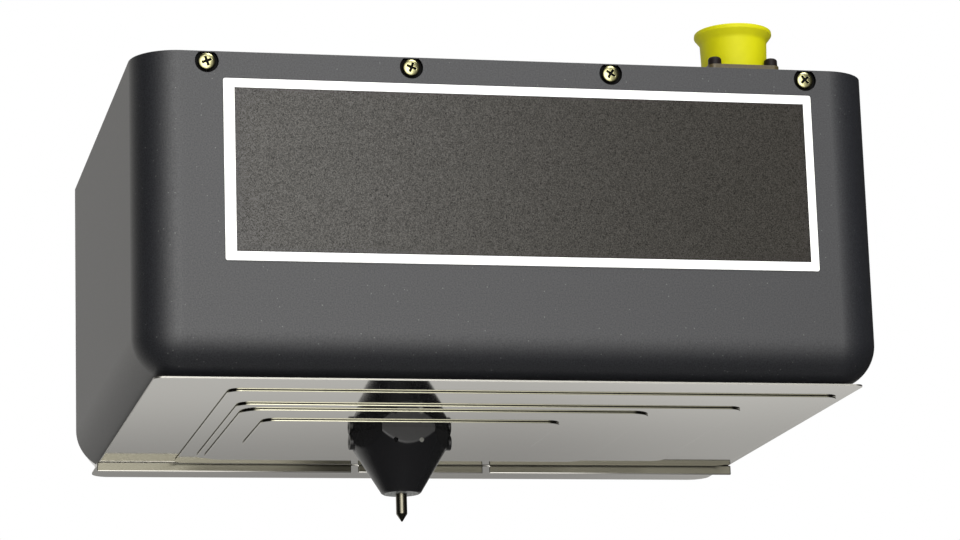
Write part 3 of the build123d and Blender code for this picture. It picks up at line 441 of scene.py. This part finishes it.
def instanceTree():
    tree = bpy.data.node_groups.new("repeatPiece", "GeometryNodeTree")
    tree.interface.new_socket("Geometry", in_out="INPUT", socket_type="NodeSocketGeometry")
    tree.interface.new_socket("Piece", in_out="INPUT", socket_type="NodeSocketObject")
    tree.interface.new_socket("Finish", in_out="INPUT", socket_type="NodeSocketMaterial")
    tree.interface.new_socket("Geometry", in_out="OUTPUT", socket_type="NodeSocketGeometry")
    inputs = tree.nodes.new("NodeGroupInput")
    outputs = tree.nodes.new("NodeGroupOutput")
    info = tree.nodes.new("GeometryNodeObjectInfo")
    turn = tree.nodes.new("GeometryNodeInputNamedAttribute")
    turn.data_type = "FLOAT_VECTOR"
    turn.inputs["Name"].default_value = "turn"
    toRotation = tree.nodes.new("FunctionNodeEulerToRotation")
    instances = tree.nodes.new("GeometryNodeInstanceOnPoints")
    realize = tree.nodes.new("GeometryNodeRealizeInstances")
    finish = tree.nodes.new("GeometryNodeSetMaterial")
    tree.links.new(inputs.outputs["Piece"], info.inputs["Object"])
    tree.links.new(inputs.outputs["Geometry"], instances.inputs["Points"])
    tree.links.new(info.outputs["Geometry"], instances.inputs["Instance"])
    tree.links.new(turn.outputs["Attribute"], toRotation.inputs["Euler"])
    tree.links.new(toRotation.outputs["Rotation"], instances.inputs["Rotation"])
    tree.links.new(instances.outputs["Instances"], realize.inputs["Geometry"])
    tree.links.new(realize.outputs["Geometry"], finish.inputs["Geometry"])
    tree.links.new(inputs.outputs["Finish"], finish.inputs["Material"])
    tree.links.new(finish.outputs["Geometry"], outputs.inputs["Geometry"])
    return tree


repeatPiece = instanceTree()


def repeat(name, unit, places, material):  # places are (point, euler turn); the unit's seat is at z zero
    mesh = bpy.data.meshes.new(name)
    mesh.from_pydata([p for p, t in places], [], [])
    attribute = mesh.attributes.new("turn", "FLOAT_VECTOR", "POINT")
    attribute.data.foreach_set("vector", [x for p, t in places for x in t])
    obj = linkMesh(name, mesh)
    modifier = obj.modifiers.new("repeat", "NODES")
    modifier.node_group = repeatPiece
    sockets = {s.name: s.identifier for s in repeatPiece.interface.items_tree if s.in_out == "INPUT"}
    modifier[sockets["Piece"]] = unit
    modifier[sockets["Finish"]] = material
    applyModifiers(obj)
    bpy.data.objects.remove(unit)
    return obj


# Cover: a tub whose outline shrinks round its bottom edge

coverValues = {
    "wall": 4, "corner": 21, "bottom": 20, "edge": 0.9, "cutEdge": 0.25, "arcSteps": 20,
    "cupRadius": 5.3, "cupDepth": 2.4, "cupDrop": 4.6, "cupPitch": 92.7, "cupLid": 0.55, "windowSide": 35.5,
    "windowFront": 24, "windowBack": 22,
}


def tubSolid(name, halfWidth, frontY, backY, topZ, floorZ, corner, bottom, steps):
    bm = bmesh.new()
    loops = []
    levels = [(0.0, topZ)]
    for i in range(steps + 1):
        a = math.pi / 2 * i / steps
        levels.append((bottom * (1 - math.cos(a)), floorZ + bottom * (1 - math.sin(a))))
    for inset, z in levels:
        radius = corner - inset
        x = halfWidth - inset
        outline = [(-x, backY)]
        for side, first in ((-1, math.pi), (1, 1.5 * math.pi)):
            for k in range(steps + 1):
                a = first + math.pi / 2 * k / steps
                outline.append((
                    side * (x - radius) + radius * math.cos(a),
                    frontY + inset + radius + radius * math.sin(a),
                ))
        outline.append((x, backY))
        loops.append([bm.verts.new((px, py, z)) for px, py in outline])
    for a, b in zip(loops, loops[1:]):
        for i in range(len(a)):
            j = (i + 1) % len(a)
            bm.faces.new((a[i], a[j], b[j], b[i]))
    bm.faces.new(loops[0])
    bm.faces.new(list(reversed(loops[-1])))
    return linkBm(name, bm)


def buildCover():
    v = coverValues
    low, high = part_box("cover")
    outer = tubSolid(
        "coverShell", high.x, low.y, high.y, high.z, low.z,
        v["corner"] * mm, v["bottom"] * mm, v["arcSteps"],
    )
    wall = v["wall"] * mm
    inner = tubSolid(
        "hollow", high.x - wall, low.y + wall, high.y + overrun, high.z + overrun, low.z + wall,
        (v["corner"] - v["wall"]) * mm, (v["bottom"] - v["wall"]) * mm, v["arcSteps"],
    )
    cutWith(outer, inner)
    bevelEdges(outer, v["edge"], 3, 50)
    side = v["windowSide"] * mm
    window = boxMesh(
        "window",
        (low.x + side, low.y + v["windowFront"] * mm, low.z - overrun),
        (high.x - side, high.y - v["windowBack"] * mm, low.z + overrun),
    )
    cutWith(outer, window)
    cups = [(i - 1.5) * v["cupPitch"] * mm for i in range(4)]
    reach, middle, depth = v["cupRadius"] * mm, high.z - v["cupDrop"] * mm, v["cupDepth"] * mm
    for x in cups:
        cup = rodMesh("cup", reach, (x, low.y - overrun, middle), (0, 1, 0), overrun + depth, 64)
        lidLow = (x - overrun, low.y - 2 * overrun, high.z - v["cupLid"] * mm)
        lid = boxMesh("lid", lidLow, (x + overrun, low.y + 2 * overrun, high.z + overrun))
        cutWith(outer, cutWith(cup, lid))
    bevelEdges(outer, v["cutEdge"], 2, 50)
    cover = settle(evenNormals(smoothByAngle(outer, 35)), "cover", coverPaint)
    # the cup walls and floors take the near-black finish: partly the cups' dark inside and partly painted
    # shade
    cover.data.materials.append(recessBlackAndShade)
    for face in cover.data.polygons:
        c = face.center
        near = any(math.hypot(c.x - x, c.z - middle) < reach + facePlay / 2 for x in cups)
        if near and v["cutEdge"] * mm < c.y - low.y < depth + facePlay:
            face.material_index = 1
    return cover


buildCover()
print("cover done")


# Front panel: a thin printed plate with a pale border

panelValues = {"left": 5.0, "right": 3.8, "rim": 4.1, "edge": 0.15, "sheen": 0.2}


def panelMaterial():
    low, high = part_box("front_panel")
    material, tree, shader = newMaterial("panelFace", (0.015, 0.015, 0.015), 0, 0.2)
    grain = addGroup(tree, speckle, Scale=2500, Contrast=3.6, Depth=0.00003)
    sheen = mathNode(tree, "MULTIPLY", grain.outputs["Tone"], panelValues["sheen"])
    tree.links.new(sheen, shader.inputs["Specular IOR Level"])
    coords = tree.nodes.new("ShaderNodeTexCoord")
    axes = tree.nodes.new("ShaderNodeSeparateXYZ")
    tree.links.new(coords.outputs["Object"], axes.inputs[0])
    inside = None
    v = panelValues
    across = (low.x + v["left"] * mm, high.x - v["right"] * mm)
    upward = (low.z + v["rim"] * mm, high.z - v["rim"] * mm)
    for axis, (a, b) in (("X", across), ("Z", upward)):
        away = mathNode(tree, "ABSOLUTE", mathNode(tree, "SUBTRACT", axes.outputs[axis], (a + b) / 2))
        within = mathNode(tree, "LESS_THAN", away, (b - a) / 2)
        inside = within if inside is None else mathNode(tree, "MULTIPLY", inside, within)
    dark = tree.nodes.new("ShaderNodeVectorMath")
    dark.operation = "SCALE"
    dark.inputs[0].default_value = (0.0165, 0.0145, 0.012)
    tree.links.new(grain.outputs["Tone"], dark.inputs["Scale"])
    mix = tree.nodes.new("ShaderNodeMix")
    mix.data_type = "RGBA"
    mix.inputs["A"].default_value = (0.84, 0.84, 0.83, 1)
    tree.links.new(inside, mix.inputs["Factor"])
    tree.links.new(dark.outputs[0], mix.inputs["B"])
    tree.links.new(mix.outputs["Result"], shader.inputs["Base Color"])
    tree.links.new(grain.outputs["Normal"], shader.inputs["Normal"])
    return material


panel = cadCopy("frontPanel", "front_panel")
bevelEdges(panel, panelValues["edge"], 2)
settle(evenNormals(smoothByAngle(panel)), "front_panel", panelMaterial())


# Cover screws: pan heads with a cross recess, each turned its own way

screwValues = {
    "head": 3.9, "height": 2.8, "crown": 0.8, "shank": 2, "length": 16,
    "slotWidth": 1.1, "slotLength": 4.6, "slotDepth": 1.6, "slotShadeFrom": 0.35, "edge": 0.12,
    "turns": (20, 68, -32, 41),
}


def panHeadUnit():
    v = screwValues
    head, height, crown = v["head"] * mm, v["height"] * mm, v["crown"] * mm
    points = [(0, -v["length"] * mm), (v["shank"] * mm, -v["length"] * mm), (v["shank"] * mm, 0), (head, 0)]
    points.append((head, height - crown))
    for k in range(1, 9):
        a = k / 8 * math.pi / 2
        points.append((head * math.cos(a) ** 0.7, height - crown + crown * math.sin(a)))
    points[-1] = (0, height)
    unit = latheMesh("panHead", points, (0, 0), 64)
    wide, long, deep = v["slotWidth"] * mm / 2, v["slotLength"] * mm / 2, v["slotDepth"] * mm
    cutWith(unit, boxMesh("slotA", (-wide, -long, height - deep), (wide, long, height + overrun)))
    cutWith(unit, boxMesh("slotB", (-long, -wide, height - deep), (long, wide, height + overrun)))
    bevelEdges(unit, v["edge"], 2, 40)
    return smoothByAngle(unit, 35)


def buildCoverScrews():
    low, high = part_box("cover_screws")
    v = screwValues
    radius = v["head"] * mm
    count = len(v["turns"])
    first, last = low.x + radius, high.x - radius
    seat = low.y + v["height"] * mm
    places = []
    for i, turn in enumerate(v["turns"]):
        x = first + (last - first) * i / (count - 1)
        facing = Matrix.Rotation(math.pi / 2, 4, "X") @ Matrix.Rotation(math.radians(turn), 4, "Z")
        places.append(((x, seat, (low.z + high.z) / 2), tuple(facing.to_euler())))
    screws = settle(repeat("coverScrews", panHeadUnit(), places, zinc), "cover_screws", None)
    # the slot walls deep in each cross recess take a near-black painted shade
    screws.data.materials.append(recessBlackAndShade)
    reach = v["slotLength"] * mm / 2 + facePlay
    for face in screws.data.polygons:
        c = face.center
        near = any(math.hypot(c.x - p[0], c.z - p[2]) < reach for p, turn in places)
        if near and v["slotShadeFrom"] * mm < c.y - low.y < v["slotDepth"] * mm + facePlay:
            face.material_index = len(screws.data.materials) - 1
    return screws


buildCoverScrews()
print("front done")


# Sheet pieces: flat mirrors with a duller sheared edge all round; the stop rail's upright faces take a
# darker steel as painted shade

sheetNames = {
    "bottom_pan": "pan", "stop_rail": "stopRail",
    "way_plate_1": "wayPlateOne", "way_plate_2": "wayPlateTwo",
    "way_plate_3": "wayPlateThree", "way_plate_4": "wayPlateFour",
}
plainSteepest = 0.5  # an edge's faces point less than this far up or down
# the stop rail's upright faces, picked by this lower limit, take the darker painted-shade steel
steepest = {"stop_rail": 0.2}
railBevelWidth = 0.5
sheetEdges = {"bottom_pan": panEdge, "stop_rail": railUprightShade}
for node, name in sheetNames.items():
    sheet = cadCopy(name, node)
    if node == "stop_rail":
        bevelEdges(sheet, railBevelWidth, 3)
    sheet = flatFaces(smoothByAngle(sheet))
    settle(sheet, node, stainless)
    sheet.data.materials.append(sheetEdges.get(node, shearedEdge))
    for face in sheet.data.polygons:
        if abs(face.normal.z) < steepest.get(node, plainSteepest):
            face.material_index = 1
print("sheets done")


# Thick plates and turned pieces: CAD shapes with softened edges

edgeWidths = {
    "top_plate": ("topPlate", 0.5), "back_plate": ("backPlate", 0.8),
    "frame_gussets": ("frameGussets", 0.5), "gantry_plate": ("gantryPlate", 0.5),
    "carriage_plate": ("carriagePlate", 0.5), "connector_shell": ("connectorShell", 0.35),
    "connector_gasket": ("connectorGasket", 0.1), "nose_screws": ("noseScrews", 0.25),
    "pin_retainer": ("pinRetainer", 0.15), "pan_nuts": ("panNuts", 0.15), "y_rails": ("yRails", 0.4),
    "x_rail": ("xRail", 0.4), "frame_screws": ("frameScrews", 0.3),
}
for node, (name, width) in edgeWidths.items():
    piece = cadCopy(name, node)
    bevelEdges(piece, width, 2)
    settle(evenNormals(smoothByAngle(piece)), node, finishes[slotOf[node]])
print("plates done")


# Nose cone: a hexagon and a cone, blended with a small soft edge

noseValues = {
    "flats": 44, "mouth": 9.25, "slope": 0.6128, "soft": 0.16, "rim": 0.5, "around": 360, "down": 110,
    "seatRadius": 8.25, "seatDepth": 4, "headRadius": 3.9, "headBase": 20.2, "headRise": 24.7,
    "ventRadius": 1.15, "ventX": 6.2, "ventRise": 22.4, "ventDepth": 8,
}


def noseRadius(z, angle, v):
    cone = v["mouth"] + z * v["slope"]
    if z < v["rim"]:
        cone = v["mouth"] - (v["rim"] - z)
    fold = (math.degrees(angle) - 90 + 30) % 60 - 30
    flat = v["flats"] / 2 / math.cos(math.radians(fold))
    low, gap = min(cone, flat), abs(cone - flat)
    return low - v["soft"] * math.log1p(math.exp(-gap / v["soft"]))


def buildNose():
    v = noseValues
    low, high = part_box("nose_cone")
    cx, cy = (low.x + high.x) / 2, (low.y + high.y) / 2
    length = (high.z - low.z) / mm
    bm = bmesh.new()
    step = (length - v["rim"]) / v["down"]
    heights = [0] + [v["rim"] + step * i for i in range(v["down"] + 1)]
    loops = []
    for z in heights:
        loops.append([])
        for k in range(v["around"]):
            a = 2 * math.pi * k / v["around"]
            r = noseRadius(z, a, v) * mm
            loops[-1].append(bm.verts.new((cx + r * math.cos(a), cy + r * math.sin(a), low.z + z * mm)))
    for a, b in zip(loops, loops[1:]):
        for i in range(len(a)):
            j = (i + 1) % len(a)
            bm.faces.new((a[i], a[j], b[j], b[i]))
    bm.faces.new(list(reversed(loops[0])))
    bm.faces.new(loops[-1])
    nose = linkBm("noseCone", bm)
    seatLength = overrun + v["seatDepth"] * mm
    seatLow = (cx, cy, low.z - overrun)
    cutWith(nose, rodMesh("seat", v["seatRadius"] * mm, seatLow, (0, 0, 1), seatLength, 96))
    ventFront = cy - v["flats"] / 2 * mm - overrun
    ventLength = overrun + v["ventDepth"] * mm
    for side in (-1, 1):
        start = (cx + side * v["headBase"] * mm, cy, low.z + v["headRise"] * mm)
        cutWith(nose, rodMesh("pocket", v["headRadius"] * mm, start, (side, 0, 0), 2 * overrun, 48))
        vent = (cx + side * v["ventX"] * mm, ventFront, low.z + v["ventRise"] * mm)
        cutWith(nose, rodMesh("vent", v["ventRadius"] * mm, vent, (0, 1, 0), ventLength, 32))
    return settle(smoothByAngle(nose, 30), "nose_cone", noseBlack)


buildNose()


# Scribing pin

pinValues = {
    "radius": 2.65, "point": 3.7, "tip": 0.25, "head": 5.2, "headHeight": 4, "springGap": 0.3,
    "tipRound": 0.15, "edgeRound": 0.3,
}


def buildPin():
    v = pinValues
    low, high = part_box("scribing_pin")
    cx, cy = (low.x + high.x) / 2, (low.y + high.y) / 2
    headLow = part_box("return_spring")[1].z + v["springGap"] * mm
    headTop = headLow + v["headHeight"] * mm
    radius = v["radius"] * mm
    points = [
        (0, low.z), (v["tip"] * mm, low.z), (radius, low.z + v["point"] * mm), (radius, headLow),
        (v["head"] * mm, headLow), (v["head"] * mm, headTop), (radius, headTop), (radius, high.z),
        (0, high.z),
    ]
    radii = [0, v["tipRound"] * mm] + [v["edgeRound"] * mm] * (len(points) - 3) + [0]
    pin = latheMesh("scribingPin", roundedProfile(points, radii, 4), (cx, cy), 96)
    return settle(smoothByAngle(pin, 30), "scribing_pin", pinSteel)


buildPin()
print("nose done")


# Connector: dust cap, flange screws

capValues = {
    "base": 15.1, "waist": 15.6, "waistHeight": 14.6, "rim": 18.1, "rimHeight": 17.8, "well": 13.5,
    "wellDepth": 2.95, "socket": 14.1, "web": 1.6, "rimDraft": 0.1,
    "rounding": (0, 0.3, 0.25, 0.35, 3.0, 0.8, 0.75, 0.9, 0.8, 0),
}


def buildCap():
    v = capValues
    low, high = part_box("dust_cap")
    cx, cy = (low.x + high.x) / 2, (low.y + high.y) / 2
    webTop = high.z - v["wellDepth"] * mm
    webLow = webTop - v["web"] * mm
    points = [
        (0, webLow), (v["socket"] * mm, webLow), (v["socket"] * mm, low.z), (v["base"] * mm, low.z),
        (v["waist"] * mm, low.z + v["waistHeight"] * mm), (v["rim"] * mm, low.z + v["rimHeight"] * mm),
        ((v["rim"] - v["rimDraft"]) * mm, high.z), (v["well"] * mm, high.z), (v["well"] * mm, webTop),
        (0, webTop),
    ]
    radii = [r * mm for r in v["rounding"]]
    cap = latheMesh("dustCap", roundedProfile(points, radii, 8), (cx, cy), 128)
    return settle(smoothByAngle(cap, 40), "dust_cap", capYellow)


buildCap()

flangeScrewValues = {
    "head": 3.1, "height": 3.9, "dome": 1.5, "shank": 1.7, "socket": 1.25, "socketDepth": 1.4,
    "underRound": 0.15, "turnAcross": 0.4, "turnBack": 0.9,
}


def flangeScrewUnit(length):
    v = flangeScrewValues
    head, height = v["head"] * mm, v["height"] * mm
    points = [
        (0, -length), (v["shank"] * mm, -length), (v["shank"] * mm, 0), (head, 0),
        (head, height), (0, height),
    ]
    radii = [0, 0, 0, v["underRound"] * mm, v["dome"] * mm, 0]
    profile = roundedProfile(points, radii, 6)
    unit = latheMesh("domeHead", profile, (0, 0), 48)
    socketFloor = (0, 0, height - v["socketDepth"] * mm)
    cutWith(unit, rodMesh("socket", v["socket"] * mm, socketFloor, (0, 0, 1), overrun, 6))
    return smoothByAngle(unit, 35)


def buildFlangeScrews():
    low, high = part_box("connector_screws")
    v = flangeScrewValues
    head = v["head"] * mm
    seat = high.z - v["height"] * mm
    places = []
    for i, x in enumerate((low.x + head, high.x - head)):
        for j, y in enumerate((low.y + head, high.y - head)):
            places.append(((x, y, seat), (0, 0, v["turnAcross"] * i + v["turnBack"] * j)))
    unit = flangeScrewUnit(seat - low.z)
    return settle(repeat("flangeScrews", unit, places, matBlack), "connector_screws", None)


buildFlangeScrews()
print("connector done")


# Studio: white surround, pale floor, soft lights

studioValues = {
    "floorDrop": 0.62, "floorSize": 9, "floorThick": 0.02, "around": 0.045,
    "backHigh": 0.25, "backLow": 0.58, "backTop": 0.36, "topFrom": -0.155, "topTo": -0.07,
    "backFrom": 0.25, "backTo": 0.85, "lowFrom": -0.166, "lowTo": -0.192,
    "frontLow": 4.1, "frontFrom": -0.7, "frontTo": -0.93, "underFrom": -0.72, "underTo": -0.5,
    "below": 0.7, "belowFrom": -0.99, "belowTo": -0.92, "sideLow": 0.2, "sideFrom": 0.1, "sideTo": 0.34,
    "right": 0.12, "rightFrom": 0.22, "rightTo": 0.3, "left": 0.4, "leftFrom": -0.12, "leftTo": -0.22,
    "edgeFrom": 0.38, "edgeTo": 0.6,
}


def buildStudio():
    v = studioValues
    low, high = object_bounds()
    scene = bpy.context.scene
    world = bpy.data.worlds.new("studio")
    scene.world = world
    world.use_nodes = True
    tree = world.node_tree
    tree.nodes.clear()
    out = tree.nodes.new("ShaderNodeOutputWorld")
    mix = tree.nodes.new("ShaderNodeMixShader")
    white = tree.nodes.new("ShaderNodeBackground")
    white.inputs["Color"].default_value = (1, 1, 1, 1)
    around = tree.nodes.new("ShaderNodeBackground")
    path = tree.nodes.new("ShaderNodeLightPath")
    coords = tree.nodes.new("ShaderNodeTexCoord")
    axes = tree.nodes.new("ShaderNodeSeparateXYZ")
    tree.links.new(coords.outputs["Generated"], axes.inputs[0])
    ramps = {}
    for name, axis, ends, levels in (
        ("back", "Z", (v["lowTo"], v["lowFrom"]), (v["backLow"], v["backHigh"])),
        ("top", "Z", (v["topFrom"], v["topTo"]), (0, v["backTop"])),
        ("behind", "Y", (v["backFrom"], v["backTo"]), (0, 1)),
        ("front", "Y", (v["frontTo"], v["frontFrom"]), (v["frontLow"], 0)),
        ("under", "Z", (v["underFrom"], v["underTo"]), (0, 1)),
        ("side", "X", (v["sideFrom"], v["sideTo"]), (1, v["sideLow"])),
        ("below", "Z", (v["belowFrom"], v["belowTo"]), (v["below"], 0)),
        ("right", "X", (v["rightFrom"], v["rightTo"]), (0, v["right"])),
        ("left", "X", (v["leftTo"], v["leftFrom"]), (v["left"], 0)),
        ("edge", "X", (v["edgeFrom"], v["edgeTo"]), (1, 0)),
    ):
        ramp = tree.nodes.new("ShaderNodeMapRange")
        ramp.interpolation_type = "SMOOTHSTEP"
        ramp.inputs["From Min"].default_value, ramp.inputs["From Max"].default_value = ends
        ramp.inputs["To Min"].default_value, ramp.inputs["To Max"].default_value = levels
        tree.links.new(axes.outputs[axis], ramp.inputs["Value"])
        ramps[name] = ramp.outputs["Result"]
    heights = mathNode(tree, "ADD", ramps["back"], ramps["top"])
    sides = mathNode(tree, "ADD", ramps["right"], ramps["left"])
    limits = mathNode(tree, "MULTIPLY", ramps["behind"], ramps["edge"])
    behind = mathNode(tree, "MULTIPLY", mathNode(tree, "ADD", heights, sides), limits)
    front = mathNode(tree, "MULTIPLY", ramps["front"], ramps["under"])
    frontAndBelow = mathNode(tree, "ADD", front, ramps["below"])
    before = mathNode(tree, "MULTIPLY", frontAndBelow, ramps["side"])
    lobes = mathNode(tree, "ADD", behind, before)
    around.inputs["Color"].default_value = (1.0, 0.985, 0.95, 1)
    tree.links.new(mathNode(tree, "ADD", lobes, v["around"]), around.inputs["Strength"])
    tree.links.new(path.outputs["Is Camera Ray"], mix.inputs["Fac"])
    tree.links.new(around.outputs[0], mix.inputs[1])
    tree.links.new(white.outputs[0], mix.inputs[2])
    tree.links.new(mix.outputs[0], out.inputs["Surface"])

    floorZ = low.z - v["floorDrop"]
    half = v["floorSize"] / 2
    floor = boxMesh("floor", (-half, -half, floorZ - v["floorThick"]), (half, half, floorZ))
    floor.data.materials.append(newMaterial("floorPale", (0.8, 0.8, 0.79), 0, 0.85)[0])
    floor.visible_glossy = False


def areaLight(name, location, target, width, height, power):
    data = bpy.data.lights.new(name, "AREA")
    data.shape = "RECTANGLE"
    data.size = width
    data.size_y = height
    data.energy = power
    obj = bpy.data.objects.new(name, data)
    bpy.context.scene.collection.objects.link(obj)
    obj.location = location
    obj.rotation_mode = "QUATERNION"
    obj.rotation_quaternion = (Vector(target) - Vector(location)).to_track_quat("-Z", "Y")
    obj.visible_camera = False
    return obj


# Each light's place, the point it faces, its width, height and power
lightValues = {
    "frontSoft": ((-0.065, -2.5, 0.33), (-0.065, -0.27, 0.33), 1.07, 1.5, 21.3),
    "overhead": ((-0.1, 0.1, 2.6), (0, -0.1, 0), 1.8, 1.8, 40),
    "topFront": ((0.6, -1.5, 1.9), (0.05, -0.27, 0), 1.0, 1.0, 36),
}
buildStudio()
for name, values in lightValues.items():
    areaLight(name, *values)
print("studio done")


# Camera, as fitted to the photo

cameraValues = {
    "place": (-0.34525, -1.69697, -0.35582), "azimuth": -12.94275, "elevation": -12.79888, "roll": -1.84209,
    "focal": 3364.597, "pictureWidth": 960,
}


def buildCamera():
    v = cameraValues
    data = bpy.data.cameras.new("camera")
    data.sensor_fit = "HORIZONTAL"
    data.sensor_width = 36
    data.lens = v["focal"] / v["pictureWidth"] * data.sensor_width
    data.clip_start = 0.05
    data.clip_end = 60
    obj = bpy.data.objects.new("camera", data)
    bpy.context.scene.collection.objects.link(obj)
    az, el, roll = (math.radians(v[k]) for k in ("azimuth", "elevation", "roll"))
    back = Vector((math.sin(az) * math.cos(el), -math.cos(az) * math.cos(el), math.sin(el)))
    right = (-back).cross(Vector((0, 0, 1))).normalized()
    up = right.cross(-back)
    turnedRight = math.cos(roll) * right + math.sin(roll) * up
    turnedUp = -math.sin(roll) * right + math.cos(roll) * up
    rotation = Matrix((turnedRight, turnedUp, back)).transposed()
    obj.matrix_world = Matrix.Translation(v["place"]) @ rotation.to_4x4()
    bpy.context.scene.camera = obj


buildCamera()
scene = bpy.context.scene
scene.render.engine = "CYCLES"
scene.view_settings.view_transform = "Standard"
scene.view_settings.look = "None"
scene.cycles.max_bounces = 8
scene.cycles.use_denoising = True
